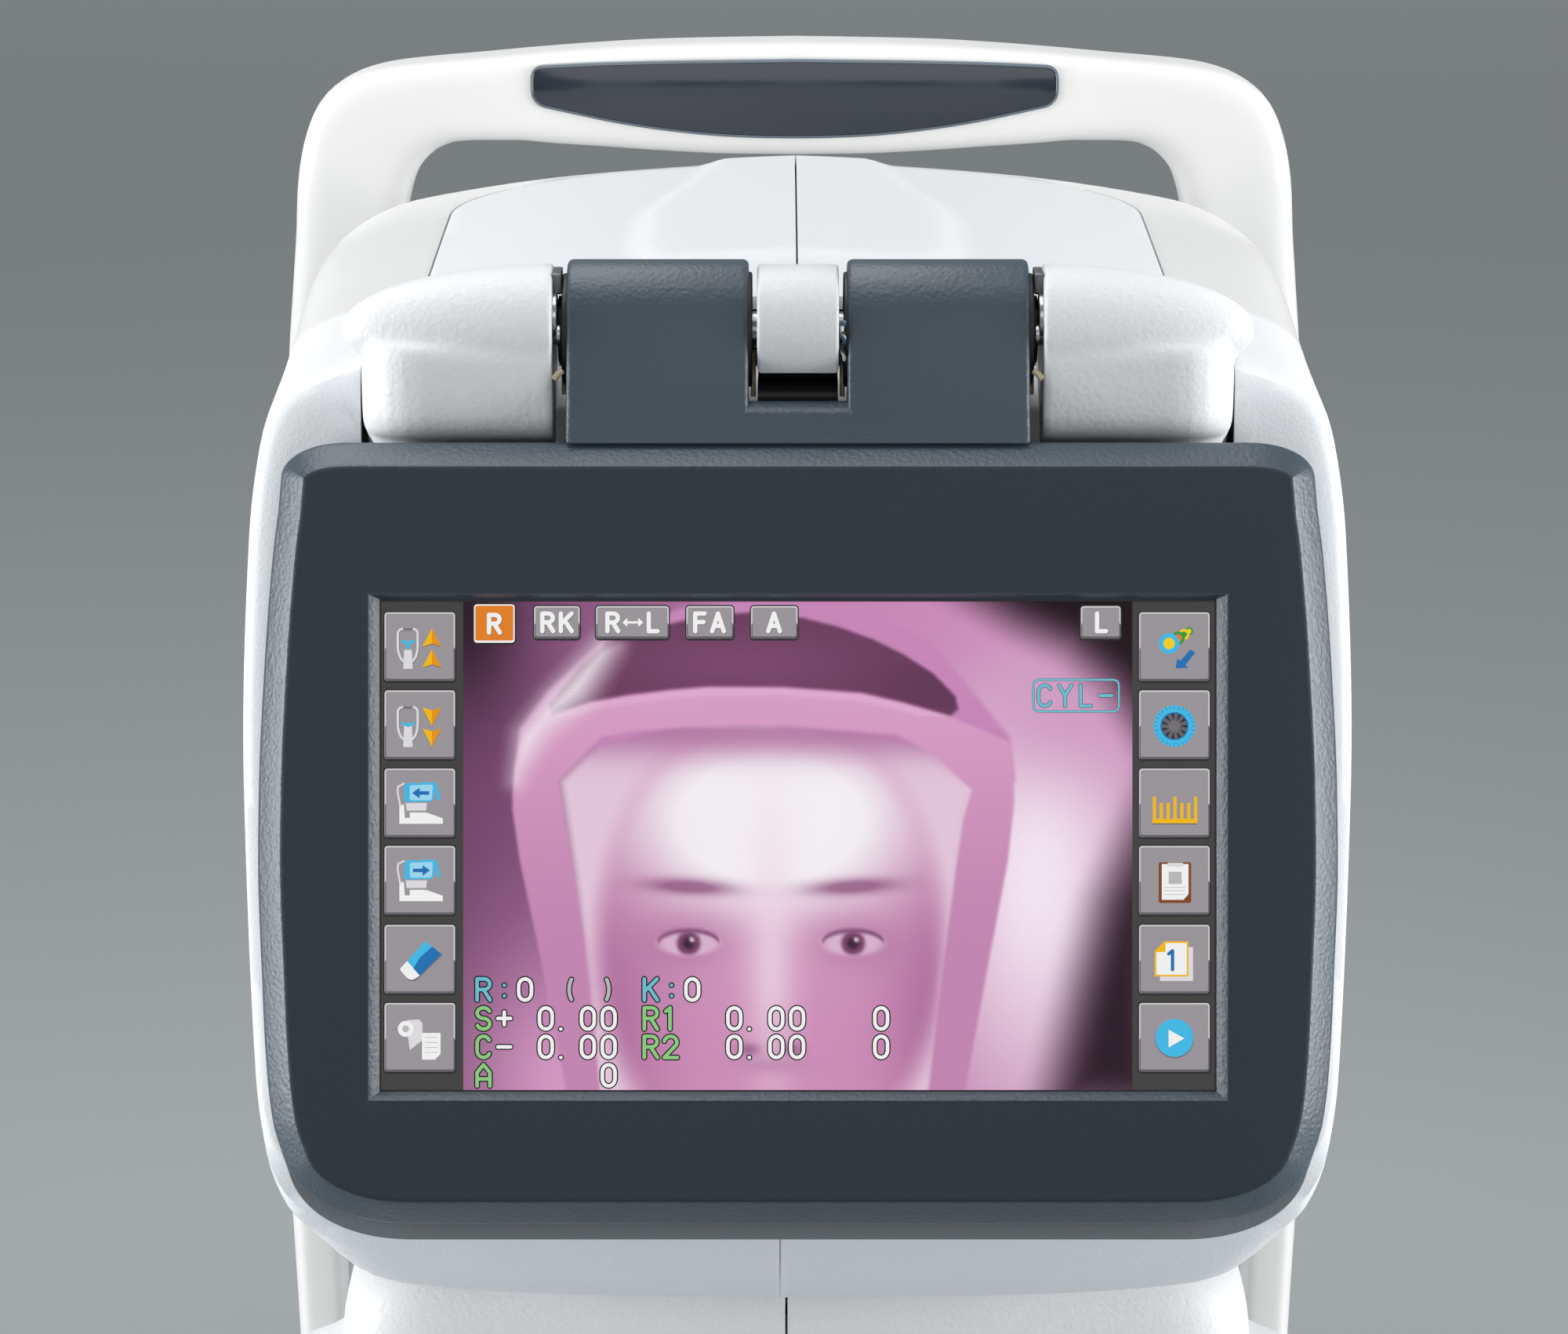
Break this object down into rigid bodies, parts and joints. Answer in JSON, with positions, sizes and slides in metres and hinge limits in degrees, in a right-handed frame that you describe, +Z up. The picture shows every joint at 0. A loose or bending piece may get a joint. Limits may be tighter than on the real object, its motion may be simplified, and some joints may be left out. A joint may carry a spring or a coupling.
{
  "type": "autorefractor",
  "caption": "Table-top autorefractor: base with printer, moving measuring head with a tilting touch display, and a headrest arch with a lifting chin rest.",
  "frame": {"origin": "centre of the bounding box, on the table that the feet stand on", "axes": "+Z up, +X to the operator's right, +Y towards the patient"},
  "size_m": [0.317, 0.525, 0.4719],
  "materials": {
    "white_textured": "fine leathery moulded texture",
    "white_gloss": "smooth semi-gloss",
    "slate": "fine spark texture",
    "navy_gloss": "polished",
    "screen": "lit liquid crystal display",
    "glass": "coated",
    "steel": "ground",
    "alloy": "milled",
    "black": "fine matt",
    "rubber": "matt",
    "board": "solder mask",
    "paper": "thermal paper",
    "light_ring": "translucent",
    "cable": "soft vinyl",
    "grey_pad": "soft silicone"
  },
  "bodies": {
    "base": {"base_plate": "alloy", "base_cover": "white_textured", "base_feet": "rubber", "power_inlet": "black", "socket_panel": "black", "power_supply": "steel", "main_board": "board", "printer_frame": "black", "y_rails": "steel", "y_motor": "black", "arch_frame": "white_gloss", "arch_inlay": "navy_gloss", "forehead_rest": "grey_pad", "eye_marks": "slate", "chin_housing": "white_gloss", "chin_motor": "black"},
    "rocker": {"power_switch": "black"},
    "paper": {"paper_roll": "paper"},
    "lid": {"printer_lid": "white_textured"},
    "platen": {"platen_roller": "rubber"},
    "lid_key": {"lid_button": "slate"},
    "depth_screw": {"y_screw": "steel"},
    "chin_lift_screw": {"chin_screw": "steel"},
    "chin_lift": {"chin_post": "steel", "chin_cup": "white_gloss"},
    "pin_left": {"paper_pin_left": "steel"},
    "pin_right": {"paper_pin_right": "steel"},
    "depth_stage": {"y_carriage": "alloy", "stage_skirt": "white_textured", "x_motor": "black"},
    "side_screw": {"x_screw": "steel"},
    "side_stage": {"x_carriage": "alloy", "x_rails": "steel", "tower_cover_left": "white_textured", "tower_cover_right": "white_textured", "z_motor": "black"},
    "lift_screw": {"z_screw": "steel"},
    "head": {"head_frame": "alloy", "guide_shafts": "steel", "head_cover_left": "white_textured", "head_cover_right": "white_textured", "patient_cover": "white_gloss", "window_panel": "black", "window_glass": "glass", "ring_light": "light_ring", "objective_barrel": "black", "beam_splitter": "glass", "eye_camera": "black", "head_board": "board", "mount_cover": "white_textured", "hinge_cap": "white_gloss", "hinge_shaft": "steel", "hinge_cables": "cable"},
    "prism": {"rotary_prism": "glass"},
    "display": {"display_arm": "slate", "display_bezel": "slate", "display_case": "slate", "screen_panel": "screen", "touch_glass": "glass", "hinge_knuckles": "steel"}
  },
  "joints": [
    {"name": "display_tilt", "type": "hinge", "parent": "head", "child": "display", "pos_m": [0, -0.1525, 0.447], "axis": [-1, 0, 0], "range_deg": [0, 60]},
    {"name": "y_travel", "type": "slide", "parent": "base", "child": "depth_stage", "axis": [0, 1, 0], "range_m": [-0.02, 0.02]},
    {"name": "y_screw_turn", "type": "hinge", "parent": "base", "child": "depth_screw", "pos_m": [0, 0.0345, 0.1], "axis": [0, 1, 0], "range_deg": [-1800, 1800]},
    {"name": "x_travel", "type": "slide", "parent": "depth_stage", "child": "side_stage", "axis": [1, 0, 0], "range_m": [-0.043, 0.043]},
    {"name": "x_screw_turn", "type": "hinge", "parent": "depth_stage", "child": "side_screw", "pos_m": [0, 0.0705, 0.16], "axis": [1, 0, 0], "range_deg": [-3870, 3870]},
    {"name": "z_lift", "type": "slide", "parent": "side_stage", "child": "head", "axis": [0, 0, 1], "range_m": [-0.015, 0.015]},
    {"name": "z_screw_turn", "type": "hinge", "parent": "side_stage", "child": "lift_screw", "pos_m": [0, 0.0345, 0.2], "axis": [0, 0, 1], "range_deg": [-1350, 1350]},
    {"name": "prism_spin", "type": "hinge", "parent": "head", "child": "prism", "pos_m": [0, 0.1055, 0.37], "axis": [0, 1, 0], "continuous": true},
    {"name": "chin_travel", "type": "slide", "parent": "base", "child": "chin_lift", "axis": [0, 0, 1], "range_m": [-0.028, 0.03]},
    {"name": "chin_screw_turn", "type": "hinge", "parent": "base", "child": "chin_lift_screw", "pos_m": [0, 0.2255, 0.1], "axis": [0, 0, 1], "range_deg": [-2520, 2700]},
    {"name": "pin_left_pull", "type": "slide", "parent": "chin_lift", "child": "pin_left", "axis": [0, 0, 1], "range_m": [0, 0.024]},
    {"name": "pin_right_pull", "type": "slide", "parent": "chin_lift", "child": "pin_right", "axis": [0, 0, 1], "range_m": [0, 0.024]},
    {"name": "lid_hinge", "type": "hinge", "parent": "base", "child": "lid", "pos_m": [0, -0.15718, 0.1104], "axis": [-1, 0, 0], "range_deg": [0, 60]},
    {"name": "platen_spin", "type": "hinge", "parent": "base", "child": "platen", "pos_m": [0, -0.22949, 0.09447], "axis": [1, 0, 0], "continuous": true},
    {"name": "paper_spin", "type": "hinge", "parent": "base", "child": "paper", "pos_m": [0, -0.2005, 0.048], "axis": [1, 0, 0], "continuous": true},
    {"name": "lid_key_press", "type": "slide", "parent": "base", "child": "lid_key", "axis": [0, 0.1821, -0.9833], "range_m": [0, 0.0015], "stiffness_N_per_m": 600},
    {"name": "power_rock", "type": "hinge", "parent": "base", "child": "rocker", "pos_m": [-0.141, 0.071, 0.0365], "axis": [0, 0, 1], "range_deg": [0, 14]}
  ],
  "couplings": [
    {"joint": "y_screw_turn", "follows": "y_travel", "rad_per_m": 1570.8},
    {"joint": "x_screw_turn", "follows": "x_travel", "rad_per_m": 1570.8},
    {"joint": "z_screw_turn", "follows": "z_lift", "rad_per_m": 1570.8},
    {"joint": "chin_screw_turn", "follows": "chin_travel", "rad_per_m": 1570.8}
  ]
}
